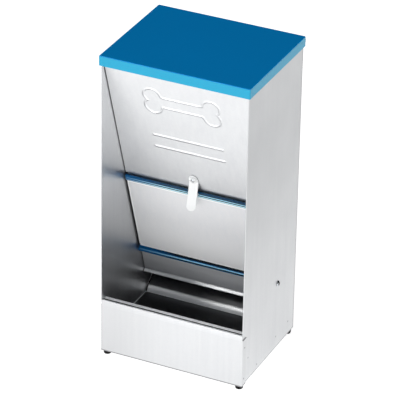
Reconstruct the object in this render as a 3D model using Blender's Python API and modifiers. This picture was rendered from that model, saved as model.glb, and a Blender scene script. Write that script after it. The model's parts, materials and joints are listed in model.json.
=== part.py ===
# A dog hopper feeder folded from galvanised sheet: a tall bin with a hinged painted lid, a sloping
# front, an open trough at its foot and a flap that swings down over the trough.
# Metres, +Z up. The front faces -Y and the feet stand on Z = 0. Inside the feeder's own frame
# y = 0 is the outer face of the front skirt and x = 0 is the middle.
import math

import bmesh
import bpy
from mathutils import Vector

# sheet metal
SHEET = 0.0008
GAP = 0.0003
BEND = 0.0016  # outer radius of a fold
SEAM = 0.0001  # how far a joined strip is let into the sheet that it continues
LET_IN = SHEET - 2 * SEAM

# body
SIDE_FACE = 0.1392  # outer face of each side sheet
BODY_DEPTH = 0.228
FOOT_HEIGHT = 0.008
LID_TOP = 0.600
BODY_TOP = LID_TOP - SHEET - GAP
INNER_HALF = SIDE_FACE - SHEET - GAP  # half width of whatever fits between the side sheets
BASE_FLANGE = 0.0212
FRONT_HEM = 0.0085
BACK_FLANGE = 0.014

# front skirt and feed tray
SKIRT_TOP = 0.1126
SKIRT_WRAP = 0.016
SKIRT_WRAP_TOP = 0.104
ROLL_RADIUS = 0.002
TRAY_FLOOR = 0.035
TRAY_LIP_FRONT = 0.0073
TRAY_LIP_BACK = 0.015
TRAY_LIP_TOP = 0.112
RAMP_FOOT = 0.182
RAMP_TOP = 0.080
TRAY_REAR_TOP = 0.092
TRAY_SIDE_RIM = 0.010

# sloping front: its frame stands on the flap's pivot axis, z up the slope and y into the bin
SLOPE = math.radians(18.5)
PIVOT_Y = 0.1500
PIVOT_Z = 0.1430
PANEL_FACE = 0.0045  # outer face of the hopper's front, behind the pivot axis
PANEL_FLANGE = 0.0038
PANEL_TOP_Y = 0.0060
LIP_BEND = -0.0480
LIP_LENGTH = 0.0125
LIP_TURN = math.radians(63)  # how far the lip is turned out of the slope

# flap
FLAP_HALF = 0.1352
FLAP_TOP = 0.1915
FLAP_RETURN = 0.0030
TRIM_HALF = 0.0026
TRIM_SLOT = 0.0007
UPPER_TRIM_BOTTOM = 0.1820
UPPER_TRIM_TOP = 0.1945
LOWER_TRIM_TOP = 0.0115
RIB_HEIGHT = 0.0007
BEAD_RADIUS = 0.0040
PIVOT_ROD_RADIUS = 0.0020
ROD_CLEARANCE = 0.0023

# latch, moulded with a tongue that springs at its root
LATCH_X = 0.0
LATCH_HALF = 0.010
LATCH_ROOT = 0.212
LATCH_MOUNT_TOP = 0.229
LATCH_RIVET = 0.2195
LATCH_THICKNESS = 0.0018
TONGUE_SPLAY = math.radians(31)
TONGUE_LENGTH = 0.052

# lid
LID_HALF = 0.1425
LID_OVERHANG = 0.0025
LID_SKIRT = 0.019
LID_REAR_SKIRT = 0.0115
HINGE_Y = 0.2352
HINGE_Z = 0.5885
KNUCKLE_RADIUS = 0.0040
HINGE_ROD_RADIUS = 0.0019
HINGE_BORE = 0.0022
HINGE_HALF = 0.139
LEAF_FACE = BODY_DEPTH + GAP
HINGE_RIVETS = (-0.108, -0.045, 0.045, 0.108)
BODY_RIVET = (2.0, 0.0018)  # head factor, shank radius
LID_RIVET = (1.8, 0.0013)
LEAF_RIVET_Z = 0.563
LID_RIVET_Z = 0.5960

# feet
FOOT_X = 0.1310
FOOT_INSET = 0.0092
FOOT_TOP_RADIUS = 0.0078
FOOT_BASE_RADIUS = 0.0068

# the whole feeder is centred on the origin between the lid's front and the hinge's back
FRONT_Y = -(HINGE_Y + KNUCKLE_RADIUS - LID_OVERHANG) / 2


def clear_scene():
    for thing in list(bpy.data.objects):
        bpy.data.objects.remove(thing, do_unlink=True)


def make_collection(name):
    made = bpy.data.collections.new(name)
    bpy.context.scene.collection.children.link(made)
    return made


def make_material(name, colour, roughness, metallic):
    material = bpy.data.materials.new(name)
    material.use_nodes = True
    shader = material.node_tree.nodes["Principled BSDF"]
    channels = [int(colour[i:i + 2], 16) / 255 for i in (1, 3, 5)]
    linear = [c / 12.92 if c <= 0.04045 else ((c + 0.055) / 1.055) ** 2.4 for c in channels]
    shader.inputs["Base Color"].default_value = (*linear, 1)
    shader.inputs["Roughness"].default_value = roughness
    shader.inputs["Metallic"].default_value = metallic
    return material


clear_scene()
feeder = make_collection("dog_hopper_feeder")
cutters = make_collection("cutters")

galvanised = make_material("galvanised steel", "#c9cbce", 0.36, 1.0)
lid_paint = make_material("blue lid enamel", "#0b6fb5", 0.35, 0.0)
blue_edging = make_material("blue edging", "#1e68a8", 0.40, 0.0)
white_plastic = make_material("white nylon", "#f2f3f3", 0.45, 0.0)
black_rubber = make_material("black rubber", "#17181a", 0.80, 0.0)
zinc_fastener = make_material("zinc plated fastener", "#b9bcbf", 0.30, 1.0)


def make_empty(name, location, parent=None, tilt=0.0):
    empty = bpy.data.objects.new(name, None)
    empty.location = location
    empty.rotation_euler = (tilt, 0, 0)
    empty.parent = parent
    feeder.objects.link(empty)
    return empty


frame = make_empty("feeder_frame", (0, FRONT_Y, 0))
slope = make_empty("front_slope", (0, PIVOT_Y, PIVOT_Z), frame, SLOPE)
flap_axis = make_empty("flap_axis", (0, PIVOT_Y, PIVOT_Z), frame, SLOPE)
lid_axis = make_empty("lid_axis", (0, HINGE_Y, HINGE_Z), frame)
tongue_axis = make_empty("tongue_axis", (LATCH_X, PANEL_FACE - GAP - LATCH_THICKNESS / 2, LATCH_ROOT), slope)


def on_slope(y, z):
    # a point of the feeder's frame as (y, z) of the sloping frame
    dy = y - PIVOT_Y
    dz = z - PIVOT_Z
    return (
        math.cos(SLOPE) * dy + math.sin(SLOPE) * dz,
        -math.sin(SLOPE) * dy + math.cos(SLOPE) * dz,
    )


def add_object(name, data, material, parent, location=(0, 0, 0), rotation=(0, 0, 0)):
    made = bpy.data.objects.new(name, data)
    made.location = location
    made.rotation_euler = rotation
    made.parent = parent
    data.materials.append(material)
    feeder.objects.link(made)
    return made


def make_cutter(made):
    feeder.objects.unlink(made)
    cutters.objects.link(made)
    made.hide_render = True
    made.display_type = "WIRE"
    return made


def combine(target, other, operation):
    make_cutter(other)
    boolean = target.modifiers.new(operation.lower() + " " + other.name, "BOOLEAN")
    boolean.object = other
    boolean.operation = operation
    return target


def rounded(points, radius, steps=3):
    # the path with an arc at each inner corner
    path = [points[0]]
    for before, corner, after in zip(points, points[1:], points[2:]):
        corner = Vector(corner)
        a = (Vector(before) - corner).normalized()
        b = (Vector(after) - corner).normalized()
        half = a.angle(b) / 2
        reach = radius / math.tan(half)
        centre = corner + (a + b).normalized() * (radius / math.sin(half))
        start = corner + a * reach - centre
        end = corner + b * reach - centre
        sweep = math.pi - 2 * half
        for i in range(steps + 1):
            t = i / steps
            turned_point = start * math.sin((1 - t) * sweep) + end * math.sin(t * sweep)
            path.append(tuple(centre + turned_point / math.sin(sweep)))
    path.append(points[-1])
    return path


def arc(centre, radius, start, end, steps):
    points = []
    for i in range(steps + 1):
        angle = math.radians(start + (end - start) * i / steps)
        points.append((centre[0] + radius * math.cos(angle), centre[1] + radius * math.sin(angle)))
    return points


def folded_sheet(name, path, along, span, parent, grow=1, thickness=SHEET, material=galvanised):
    # a folded strip: the path is its outer face, drawn across the fold lines and swept along them.
    # It thickens to the right of the path, or with grow = -1 to the left.
    place = {
        "X": lambda a, b, s: (s, a, b),
        "Y": lambda a, b, s: (a, -s, b),
        "Z": lambda a, b, s: (a, b, s),
    }[along]
    low, high = (-span[1], -span[0]) if along == "Y" else span
    mesh = bpy.data.meshes.new(name)
    bm = bmesh.new()
    rows = [[bm.verts.new(place(a, b, s)) for s in (low, high)] for a, b in path]
    for (a, b), (c, d) in zip(rows, rows[1:]):
        bm.faces.new((a, c, d, b))
    bm.to_mesh(mesh)
    bm.free()
    sheet = add_object(name, mesh, material, parent)
    solidify = sheet.modifiers.new("sheet", "SOLIDIFY")
    solidify.thickness = thickness
    solidify.offset = grow
    solidify.use_even_offset = True
    return sheet


def box(name, low, high, parent, material=galvanised):
    mesh = bpy.data.meshes.new(name)
    bm = bmesh.new()
    bmesh.ops.create_cube(bm, size=1)
    for vertex in bm.verts:
        for i in range(3):
            vertex.co[i] = low[i] + (vertex.co[i] + 0.5) * (high[i] - low[i])
    bm.to_mesh(mesh)
    bm.free()
    return add_object(name, mesh, material, parent)


def cylinder(name, radius, start, end, parent, material=zinc_fastener, sides=24):
    # a straight round bar between two points
    start = Vector(start)
    axis = Vector(end) - start
    mesh = bpy.data.meshes.new(name)
    bm = bmesh.new()
    bmesh.ops.create_cone(bm, cap_ends=True, segments=sides, radius1=radius, radius2=radius,
                          depth=axis.length)
    bm.to_mesh(mesh)
    bm.free()
    mesh.shade_smooth()
    mesh.set_sharp_from_angle(angle=math.radians(40))
    made = add_object(name, mesh, material, parent, start + axis / 2)
    made.rotation_euler = axis.to_track_quat("Z", "Y").to_euler()
    return made


def turned(name, profile, parent, material, location, axis="Z", sides=24):
    # a profile of (radius, height), read down its outer side, turned about its own Z
    mesh = bpy.data.meshes.new(name)
    bm = bmesh.new()
    points = [bm.verts.new((radius, 0, height)) for radius, height in profile]
    for a, b in zip(points, points[1:]):
        bm.edges.new((a, b))
    if profile[0][0] > 0:
        bm.edges.new((points[-1], points[0]))
    bm.to_mesh(mesh)
    bm.free()
    rotation = {"Z": (0, 0, 0), "X": (0, math.pi / 2, 0), "-X": (0, -math.pi / 2, 0),
                "Y": (-math.pi / 2, 0, 0), "-Y": (math.pi / 2, 0, 0)}[axis]
    made = add_object(name, mesh, material, parent, location, rotation)
    screw = made.modifiers.new("turn", "SCREW")
    screw.steps = sides
    screw.render_steps = sides
    screw.use_merge_vertices = True
    screw.merge_threshold = 0.00001
    return made


def extrusion(name, outlines, half, parent, material):
    # flat outlines in (y, z), the later ones holes in the first, drawn out along X
    curve = bpy.data.curves.new(name, "CURVE")
    curve.dimensions = "2D"
    curve.fill_mode = "BOTH"
    curve.extrude = half
    for outline in outlines:
        spline = curve.splines.new("POLY")
        spline.points.add(len(outline) - 1)
        for point, (y, z) in zip(spline.points, outline):
            point.co = (y, z, 0, 1)
        spline.use_cyclic_u = True
    return add_object(name, curve, material, parent, rotation=(math.pi / 2, 0, math.pi / 2))


def drill(target, radius, start, end, parent):
    bore = cylinder(target.name + " bore", radius, start, end, parent)
    return combine(target, bore, "DIFFERENCE")


def side_panel(name, side):
    # full-height side sheet with its base folded in and its front edge hemmed
    path = rounded([
        (side * SIDE_FACE, BODY_TOP),
        (side * SIDE_FACE, FOOT_HEIGHT),
        (side * (SIDE_FACE - BASE_FLANGE), FOOT_HEIGHT),
    ], BEND)
    panel = folded_sheet(name, path, "Y", (SHEET + GAP, BODY_DEPTH), frame, side)
    inner = side * (SIDE_FACE - LET_IN)
    outer = side * (SIDE_FACE + SHEET)
    hem = box(name + " hem", (min(inner, outer), 0, SKIRT_TOP + 0.0005),
              (max(inner, outer), FRONT_HEM, BODY_TOP - SEAM), frame)
    edge = hem.modifiers.new("soft edge", "BEVEL")
    edge.width = 0.0003
    edge.segments = 1
    combine(panel, hem, "UNION")
    drill(panel, ROD_CLEARANCE, (side * 0.130, PIVOT_Y, PIVOT_Z), (side * 0.150, PIVOT_Y, PIVOT_Z), frame)
    for y in (FOOT_INSET, BODY_DEPTH - FOOT_INSET):
        drill(panel, ROD_CLEARANCE, (side * FOOT_X, y, 0.005), (side * FOOT_X, y, 0.016), frame)
    return panel


def back_panel():
    # back sheet, folded forward along the sides above the tray
    half = INNER_HALF
    path = rounded([(-half, BODY_DEPTH - BACK_FLANGE), (-half, BODY_DEPTH), (half, BODY_DEPTH),
                    (half, BODY_DEPTH - BACK_FLANGE)], BEND)
    panel = folded_sheet("back_panel", path, "Z", (TRAY_REAR_TOP + 0.003, BODY_TOP), frame)
    edge = half - SEAM
    base = folded_sheet("back panel base", [(-edge, BODY_DEPTH - SEAM), (edge, BODY_DEPTH - SEAM)], "Z",
                        (FOOT_HEIGHT + SHEET + GAP, TRAY_REAR_TOP + 0.006), frame, 1, LET_IN)
    combine(panel, base, "UNION")
    for x in HINGE_RIVETS:
        drill(panel, BODY_RIVET[1] + GAP, (x, BODY_DEPTH - 0.004, LEAF_RIVET_Z),
              (x, BODY_DEPTH + 0.004, LEAF_RIVET_Z), frame)
    return panel


def front_skirt():
    # low front wall, wrapped round the side sheets, with a rolled top and a folded foot
    half = SIDE_FACE + GAP + SHEET
    wrap = rounded([(-half, SKIRT_WRAP), (-half, 0), (half, 0), (half, SKIRT_WRAP)], 0.0012)
    skirt = folded_sheet("front_skirt", wrap, "Z", (FOOT_HEIGHT + 2 * SEAM, SKIRT_WRAP_TOP), frame, -1)
    wall = folded_sheet("skirt wall", [(SEAM, SKIRT_WRAP_TOP - 0.010), (SEAM, SKIRT_TOP)], "X",
                        (-half + 0.0012, half - 0.0012), frame, 1, LET_IN)
    combine(skirt, wall, "UNION")
    roll = arc((ROLL_RADIUS, SKIRT_TOP + SEAM), ROLL_RADIUS - 2 * SEAM, 180, 0, 8)
    path = [(2 * SEAM, SKIRT_TOP - 0.020), *roll, (2 * (ROLL_RADIUS - SEAM), SKIRT_TOP - 0.003)]
    rolled_top = folded_sheet("skirt roll", path, "X", (-INNER_HALF, INNER_HALF), frame, 1,
                              SHEET - 3 * SEAM)
    combine(skirt, rolled_top, "UNION")
    foot = rounded([(0.014, FOOT_HEIGHT), (SEAM, FOOT_HEIGHT), (SEAM, 0.060)], BEND)
    reach = SIDE_FACE - BASE_FLANGE - 0.0005
    combine(skirt, folded_sheet("skirt foot", foot, "X", (-reach, reach), frame, 1, LET_IN), "UNION")
    return skirt


def feed_tray():
    # one sheet makes the trough's lip, inner wall, floor and the ramp that feeds it
    back = BODY_DEPTH - 2 * SHEET - GAP
    profile = rounded([
        (TRAY_LIP_FRONT, TRAY_LIP_TOP - 0.008),
        (TRAY_LIP_FRONT, TRAY_LIP_TOP),
        (TRAY_LIP_BACK, TRAY_LIP_TOP),
        (TRAY_LIP_BACK, TRAY_FLOOR),
        (RAMP_FOOT, TRAY_FLOOR),
        (back, RAMP_TOP),
        (back, TRAY_REAR_TOP),
    ], 0.0020)
    tray = folded_sheet("feed_tray", profile, "X", (-INNER_HALF, INNER_HALF), frame)
    for side in (-1, 1):
        edges = sorted((side * (INNER_HALF - SEAM), side * (INNER_HALF - SEAM - SHEET)))
        rim = box(f"tray rim {side}", (edges[0], TRAY_LIP_BACK + 0.003, TRAY_FLOOR - LET_IN),
                  (edges[1], RAMP_FOOT - 0.002, TRAY_FLOOR + TRAY_SIDE_RIM), frame)
        combine(tray, rim, "UNION")
    return tray


def hopper_front_panel():
    # the sloping front: upright along its top, straight down the slope, its lip turned out
    lip_end = (PANEL_FACE - LIP_LENGTH * math.sin(LIP_TURN), LIP_BEND - LIP_LENGTH * math.cos(LIP_TURN))
    top_bend = on_slope(PANEL_TOP_Y, PIVOT_Z + (PANEL_FACE - math.cos(SLOPE) * (PANEL_TOP_Y - PIVOT_Y))
                        / math.sin(SLOPE))
    top_end = on_slope(PANEL_TOP_Y, BODY_TOP - 0.0005)
    path = rounded([lip_end, (PANEL_FACE, LIP_BEND), top_bend, top_end], 0.0030)
    panel = folded_sheet("hopper_front_panel", path, "X", (-INNER_HALF, INNER_HALF), slope)
    for side in (-1, 1):
        edge = side * (INNER_HALF - SEAM)
        flange = [(edge, PANEL_FACE + PANEL_FLANGE), (edge, PANEL_FACE + SEAM),
                  (edge - side * 0.010, PANEL_FACE + SEAM)]
        combine(panel, folded_sheet(f"panel flange {side}", flange, "Z",
                                    (LIP_BEND + 0.005, top_bend[1] - 0.007), slope, side, LET_IN), "UNION")
    drill(panel, 0.0021, (LATCH_X, 0, LATCH_RIVET), (LATCH_X, 0.009, LATCH_RIVET), slope)
    return panel


def flap_panel():
    # flat sheet with short returns along its sides, held between the two edgings
    face = -SHEET / 2
    path = rounded([(-FLAP_HALF, face + SHEET + FLAP_RETURN), (-FLAP_HALF, face), (FLAP_HALF, face),
                    (FLAP_HALF, face + SHEET + FLAP_RETURN)], BEND)
    panel = folded_sheet("flap_panel", path, "Z", (LOWER_TRIM_TOP + 0.004, UPPER_TRIM_BOTTOM - 0.002),
                         flap_axis, -1)
    edge = FLAP_HALF - BEND
    flat = folded_sheet("flap edges", [(-edge, face + SEAM), (edge, face + SEAM)], "Z",
                        (0.0053, FLAP_TOP), flap_axis, -1, LET_IN)
    return combine(panel, flat, "UNION")


def ribbed_face(top, bottom, ribs):
    # the front of an edging, read downwards: round ribs along it with a groove at each side
    pitch = (top - bottom) / ribs
    points = []
    for i in range(ribs):
        for step in range(9):
            angle = math.pi * step / 8
            points.append((-TRIM_HALF + RIB_HEIGHT * (1 - math.sin(angle)),
                           top - pitch * (i + 0.5 - 0.46 * math.cos(angle))))
    return points


def flap_upper_trim():
    # a clip-on edging, open below, with a rounded head
    head = arc((0, UPPER_TRIM_TOP - TRIM_HALF), TRIM_HALF, 0, 180, 10)
    outline = [(TRIM_SLOT, UPPER_TRIM_BOTTOM), (TRIM_HALF, UPPER_TRIM_BOTTOM), *head[:-1],
               *ribbed_face(UPPER_TRIM_TOP - TRIM_HALF, UPPER_TRIM_BOTTOM, 2),
               (-TRIM_SLOT, UPPER_TRIM_BOTTOM), (-TRIM_SLOT, FLAP_TOP + GAP), (TRIM_SLOT, FLAP_TOP + GAP)]
    return extrusion("flap_upper_trim", [outline], FLAP_HALF, flap_axis, blue_edging)


def flap_lower_trim():
    # an edging whose lower bead is the bearing of the pivot rod
    meet = math.degrees(math.asin(TRIM_HALF / BEAD_RADIUS))
    bead = arc((0, 0), BEAD_RADIUS, 90 - meet, -270 + meet, 22)
    slot_foot = 0.0050
    rib = ribbed_face(LOWER_TRIM_TOP, bead[-1][1], 1)
    outline = [(TRIM_SLOT, LOWER_TRIM_TOP), (TRIM_HALF, LOWER_TRIM_TOP), *bead, *reversed(rib),
               (-TRIM_SLOT, LOWER_TRIM_TOP), (-TRIM_SLOT, slot_foot), (TRIM_SLOT, slot_foot)]
    bore = arc((0, 0), ROD_CLEARANCE, 0, 345, 23)
    return extrusion("flap_lower_trim", [outline, bore], FLAP_HALF, flap_axis, blue_edging)


def pivot_hardware():
    # one rod carries the flap, with a spacer and a domed cap at each end
    reach = SIDE_FACE + 0.0018
    cylinder("flap_pivot_rod", PIVOT_ROD_RADIUS, (-reach, 0, 0), (reach, 0, 0), slope)
    inside = FLAP_HALF + GAP
    width = INNER_HALF - inside
    ring = [(ROD_CLEARANCE, width), (BEAD_RADIUS, width), (BEAD_RADIUS, 0), (ROD_CLEARANCE, 0)]
    turned("pivot_spacer_right", ring, slope, blue_edging, (inside, 0, 0), "X")
    turned("pivot_spacer_left", ring, slope, blue_edging, (-inside, 0, 0), "-X")
    height = 0.0030
    blind = 0.0019
    dome = [(0, height), (0.0022, 0.0028), (0.0042, 0.0021), (0.0054, 0.0009), (0.0055, 0),
            (ROD_CLEARANCE, 0), (ROD_CLEARANCE, blind), (0, blind)]
    seat = SIDE_FACE + GAP
    turned("pivot_cap_right", dome, slope, zinc_fastener, (seat, 0, 0), "X")
    turned("pivot_cap_left", dome, slope, zinc_fastener, (-seat, 0, 0), "-X")


def latch_mount():
    # the fixed foot of the latch, riveted flat on the sloping front, with a raised boss
    back = PANEL_FACE - GAP
    front = back - LATCH_THICKNESS
    low = LATCH_ROOT + GAP / 2
    radius = LATCH_HALF
    centre = (LATCH_X, LATCH_MOUNT_TOP - radius)
    outline = [(LATCH_X + radius, low), *arc(centre, radius, 0, 180, 14), (LATCH_X - radius, low)]
    curve = bpy.data.curves.new("latch_mount", "CURVE")
    curve.dimensions = "2D"
    curve.fill_mode = "BOTH"
    curve.extrude = LATCH_THICKNESS / 2
    spline = curve.splines.new("POLY")
    spline.points.add(len(outline) - 1)
    for point, (x, z) in zip(spline.points, outline):
        point.co = (x, z, 0, 1)
    spline.use_cyclic_u = True
    flat = add_object("latch mount outline", curve, white_plastic, slope, (0, (front + back) / 2, 0),
                      (math.pi / 2, 0, 0))
    bpy.context.view_layer.update()
    graph = bpy.context.evaluated_depsgraph_get()
    mesh = bpy.data.meshes.new_from_object(flat.evaluated_get(graph))
    bm = bmesh.new()
    bm.from_mesh(mesh)
    bmesh.ops.remove_doubles(bm, verts=bm.verts, dist=0.000001)
    bm.to_mesh(mesh)
    bm.free()
    mount = add_object("latch_mount", mesh, white_plastic, slope, flat.location, flat.rotation_euler)
    bpy.data.objects.remove(flat)
    boss = cylinder("latch boss", 0.0068, (LATCH_X, front + 0.0005, LATCH_RIVET),
                    (LATCH_X, front - 0.0012, LATCH_RIVET), slope, white_plastic, 28)
    combine(mount, boss, "UNION")
    drill(mount, 0.0021, (LATCH_X, 0.008, LATCH_RIVET), (LATCH_X, -0.004, LATCH_RIVET), slope)
    return mount


def latch_tongue():
    # the sprung tongue: it splays out from its root, and a nib under it holds the flap's edge
    half = LATCH_THICKNESS / 2
    dx = -math.sin(TONGUE_SPLAY)
    dz = -math.cos(TONGUE_SPLAY)
    trim_front = -TRIM_HALF - 0.0004 - (PANEL_FACE - GAP - half)

    def along(distance, offset):
        # a point at this distance down the tongue and this far out from its middle
        return (dx * distance + dz * offset, dz * distance - dx * offset)

    nib_top = LATCH_ROOT - UPPER_TRIM_TOP + 0.0005
    nib_foot = nib_top + 0.0035
    inner = -half
    outline = [
        along(half * math.tan(TONGUE_SPLAY / 2), half),
        along(TONGUE_LENGTH * 0.80, half),
        along(TONGUE_LENGTH, half + 0.0016),
        along(TONGUE_LENGTH + 0.0006, inner + 0.0018),
        along(TONGUE_LENGTH * 0.80, inner),
        along(nib_foot / math.cos(TONGUE_SPLAY) + 0.006, inner),
        (trim_front, -nib_foot),
        (trim_front, -nib_top),
        along(nib_top / math.cos(TONGUE_SPLAY) - 0.003, inner),
        (half, -GAP / 2 - half * 0.8),
        (half, -GAP / 2),
        (-half, -GAP / 2 - 0.0005),
    ]
    mesh = bpy.data.meshes.new("latch_tongue")
    bm = bmesh.new()
    side = bm.faces.new([bm.verts.new((-LATCH_HALF, y, z)) for y, z in outline])
    drawn = bmesh.ops.extrude_face_region(bm, geom=[side])
    moved = [v for v in drawn["geom"] if isinstance(v, bmesh.types.BMVert)]
    bmesh.ops.translate(bm, verts=moved, vec=(2 * LATCH_HALF, 0, 0))
    bmesh.ops.recalc_face_normals(bm, faces=bm.faces)
    tip = min(v.co.z for v in bm.verts) + 0.0025
    corners = [e for e in bm.edges
               if abs(e.verts[0].co.x - e.verts[1].co.x) < 1e-6 and max(v.co.z for v in e.verts) < tip]
    bmesh.ops.bevel(bm, geom=corners, offset=0.0065, segments=5, profile=0.5, affect="EDGES")
    bm.to_mesh(mesh)
    bm.free()
    return add_object("latch_tongue", mesh, white_plastic, tongue_axis)


def rivet(name, shank, grip, location, axis, parent, head=2.0, inner_head=0.0009):
    # a domed head on one face, a flat head on the other and a shank through the grip
    radius = shank * head
    top = grip / 2 + GAP
    rise = radius * 0.42
    profile = [(0, top + rise), (radius * 0.5, top + rise * 0.84), (radius * 0.86, top + rise * 0.42),
               (radius, top), (shank, top), (shank, -top), (radius * 0.85, -top),
               (radius * 0.85, -top - inner_head), (0, -top - inner_head)]
    return turned(name, profile, parent, zinc_fastener, location, axis, 20)


def lid():
    # a shallow painted tray turned over the bin, its rear skirt cut short for the hinge
    mesh = bpy.data.meshes.new("lid")
    bm = bmesh.new()
    bmesh.ops.create_cube(bm, size=1)
    low = Vector((-LID_HALF, -LID_OVERHANG - HINGE_Y, LID_TOP - LID_SKIRT - HINGE_Z))
    high = Vector((LID_HALF, BODY_DEPTH + LID_OVERHANG - HINGE_Y, LID_TOP - HINGE_Z))
    for vertex in bm.verts:
        vertex.co = [low[i] + (vertex.co[i] + 0.5) * (high[i] - low[i]) for i in range(3)]
    bottom = [f for f in bm.faces if f.normal.z < -0.5]
    bmesh.ops.delete(bm, geom=bottom, context="FACES")
    bm.to_mesh(mesh)
    bm.free()
    made = add_object("lid", mesh, lid_paint, lid_axis)
    bevel = made.modifiers.new("folds", "BEVEL")
    bevel.width = 0.0018
    bevel.segments = 3
    solidify = made.modifiers.new("sheet", "SOLIDIFY")
    solidify.thickness = SHEET
    solidify.offset = -1
    solidify.use_even_offset = True
    notch = box("lid hinge notch", (-0.1399, BODY_DEPTH - HINGE_Y - 0.002, -0.015),
                (0.1399, BODY_DEPTH - HINGE_Y + 0.006, LID_TOP - LID_REAR_SKIRT - HINGE_Z), lid_axis)
    combine(made, notch, "DIFFERENCE")
    for x in HINGE_RIVETS:
        drill(made, LID_RIVET[1] + GAP, (x, -0.009, LID_RIVET_Z - HINGE_Z),
              (x, 0, LID_RIVET_Z - HINGE_Z), lid_axis)
    return made


def knuckle_spans():
    # five knuckles side by side with a small gap between them
    width = 2 * HINGE_HALF / 5
    return [(-HINGE_HALF + i * width + GAP, -HINGE_HALF + (i + 1) * width - GAP) for i in range(5)]


def hinge_leaf_body():
    # the leaf on the back: flat on the panel, then stepped out to its three knuckles
    top = 0.5786
    web_end = (HINGE_Y - 0.0022, HINGE_Z - 0.0025)
    plate = [(LEAF_FACE, 0.552), (LEAF_FACE, top - 0.002)]
    leaf = folded_sheet("hinge_leaf_body", plate, "X", (-HINGE_HALF, HINGE_HALF), frame)
    for i, span in enumerate(knuckle_spans()[0::2]):
        path = rounded([(LEAF_FACE + SEAM, 0.571), (LEAF_FACE + SEAM, top), web_end], 0.0015)
        combine(leaf, folded_sheet(f"body web {i}", path, "X", span, frame, 1, LET_IN), "UNION")
        barrel = cylinder(f"body knuckle {i}", KNUCKLE_RADIUS, (span[0], HINGE_Y, HINGE_Z),
                          (span[1], HINGE_Y, HINGE_Z), frame)
        combine(leaf, barrel, "UNION")
    drill(leaf, HINGE_BORE, (-0.150, HINGE_Y, HINGE_Z), (0.150, HINGE_Y, HINGE_Z), frame)
    for x in HINGE_RIVETS:
        drill(leaf, BODY_RIVET[1] + GAP, (x, BODY_DEPTH - 0.003, LEAF_RIVET_Z),
              (x, BODY_DEPTH + 0.004, LEAF_RIVET_Z), frame)
    return leaf


def hinge_leaf_lid():
    # the leaf on the lid's rear skirt, with the two knuckles between the others
    face = BODY_DEPTH + LID_OVERHANG + GAP - HINGE_Y
    top = 0.5985 - HINGE_Z
    low = 0.5932 - HINGE_Z
    leaf = folded_sheet("hinge_leaf_lid", [(face, low), (face, top)], "X", (-HINGE_HALF, HINGE_HALF),
                        lid_axis)
    for i, span in enumerate(knuckle_spans()[1::2]):
        tab = folded_sheet(f"lid tab {i}", [(face + SEAM, 0), (face + SEAM, top - 0.001)], "X", span,
                           lid_axis, 1, LET_IN)
        combine(leaf, tab, "UNION")
        barrel = cylinder(f"lid knuckle {i}", KNUCKLE_RADIUS, (span[0], 0, 0), (span[1], 0, 0), lid_axis)
        combine(leaf, barrel, "UNION")
    drill(leaf, HINGE_BORE, (-0.150, 0, 0), (0.150, 0, 0), lid_axis)
    for x in HINGE_RIVETS:
        drill(leaf, LID_RIVET[1] + GAP, (x, -0.009, LID_RIVET_Z - HINGE_Z),
              (x, 0, LID_RIVET_Z - HINGE_Z), lid_axis)
    return leaf


def hinge_hardware():
    cylinder("hinge_rod", HINGE_ROD_RADIUS, (-0.1405, HINGE_Y, HINGE_Z), (0.1405, HINGE_Y, HINGE_Z), frame)
    grip = 2 * SHEET + GAP
    leaf_middle = BODY_DEPTH + GAP / 2
    lid_middle = BODY_DEPTH + LID_OVERHANG + GAP / 2 - HINGE_Y
    for i, x in enumerate(HINGE_RIVETS, start=1):
        rivet(f"body_hinge_rivet_{i}", BODY_RIVET[1], grip, (x, leaf_middle, LEAF_RIVET_Z), "Y", frame,
              BODY_RIVET[0])
        rivet(f"lid_hinge_rivet_{i}", LID_RIVET[1], grip, (x, lid_middle, LID_RIVET_Z - HINGE_Z), "Y",
              lid_axis, LID_RIVET[0], 0.0007)


def foot_set(place, x, y):
    # a rubber foot with its screw let into its sole, and the nut on the folded base
    top = FOOT_HEIGHT - GAP
    recess = 0.0042
    sole = [(0.0023, top), (FOOT_TOP_RADIUS, top), (FOOT_TOP_RADIUS, top - 0.0015),
            (FOOT_BASE_RADIUS, 0.0008), (FOOT_BASE_RADIUS - 0.0008, 0), (0.0046, 0),
            (0.0046, recess), (0.0023, recess)]
    turned(f"foot_{place}", sole, frame, black_rubber, (x, y, 0))
    head_top = recess - GAP
    tip = FOOT_HEIGHT + SHEET + GAP + 0.0032 + 0.0012
    screw = [(0, tip), (0.0016, tip), (0.0020, tip - 0.0004), (0.0020, head_top), (0.0038, head_top),
             (0.0038, head_top - 0.0016), (0.0030, head_top - 0.0024), (0, head_top - 0.0024)]
    turned(f"foot_screw_{place}", screw, frame, zinc_fastener, (x, y, 0))
    seat = FOOT_HEIGHT + SHEET + GAP
    nut = cylinder(f"foot_nut_{place}", 0.0040, (x, y, seat), (x, y, seat + 0.0032), frame, sides=6)
    drill(nut, 0.0023, (x, y, seat - 0.001), (x, y, seat + 0.005), frame)


side_panel("left_side_panel", -1)
side_panel("right_side_panel", 1)
back_panel()
front_skirt()
feed_tray()
hopper_front_panel()
flap_panel()
flap_upper_trim()
flap_lower_trim()
pivot_hardware()
latch_mount()
latch_tongue()
rivet("latch_rivet", 0.0018, 0.0030 + SHEET + GAP,
      (LATCH_X, PANEL_FACE + (SHEET - GAP - 0.0030) / 2, LATCH_RIVET), "-Y", slope, 1.9)
lid()
hinge_leaf_body()
hinge_leaf_lid()
hinge_hardware()
for row, row_y in (("front", FOOT_INSET), ("rear", BODY_DEPTH - FOOT_INSET)):
    for hand, hand_x in (("left", -FOOT_X), ("right", FOOT_X)):
        foot_set(f"{row}_{hand}", hand_x, row_y)
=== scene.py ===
import json
import math

import bmesh
import bpy
from mathutils import Matrix, Vector


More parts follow.
